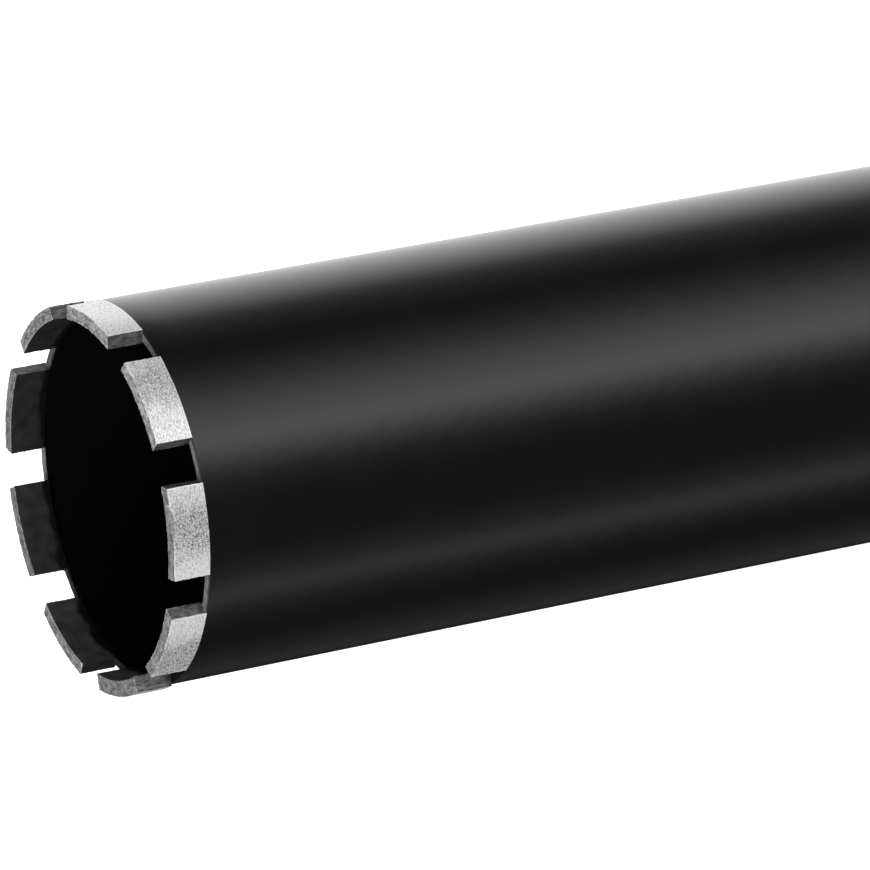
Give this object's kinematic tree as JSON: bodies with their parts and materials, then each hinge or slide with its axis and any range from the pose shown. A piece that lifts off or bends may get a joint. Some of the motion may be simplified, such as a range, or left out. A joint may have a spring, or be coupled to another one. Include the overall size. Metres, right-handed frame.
{
  "type": "diamond core bit",
  "caption": "Segmented diamond core bit: thin black steel tube, cutting segments brazed around its open rim, closed back plate and hexagonal hub with a female thread.",
  "frame": {"origin": "centre of the hub's end face, which the bit stands on", "axes": "+Z along the bit's axis, from the hub to the cutting segments; +X through the middle of segment_1"},
  "size_m": [0.1017, 0.102, 0.492],
  "materials": {
    "body_paint": "satin black paint with a fine even grain, bare steel on the cutting rim",
    "hub_steel": "satin black paint outside, bare turned steel on the end face and in the thread",
    "segment_metal": "sintered and ground metal matrix, pale, granular and matt, with fine pits and grinding lines"
  },
  "bodies": {
    "root": {"tube": "body_paint", "back_plate": "body_paint", "rim_weld": "body_paint", "hub_weld": "body_paint", "hub": "hub_steel", "segment_1": "segment_metal", "segment_2": "segment_metal", "segment_3": "segment_metal", "segment_4": "segment_metal", "segment_5": "segment_metal", "segment_6": "segment_metal", "segment_7": "segment_metal", "segment_8": "segment_metal", "segment_9": "segment_metal"}
  },
  "joints": []
}
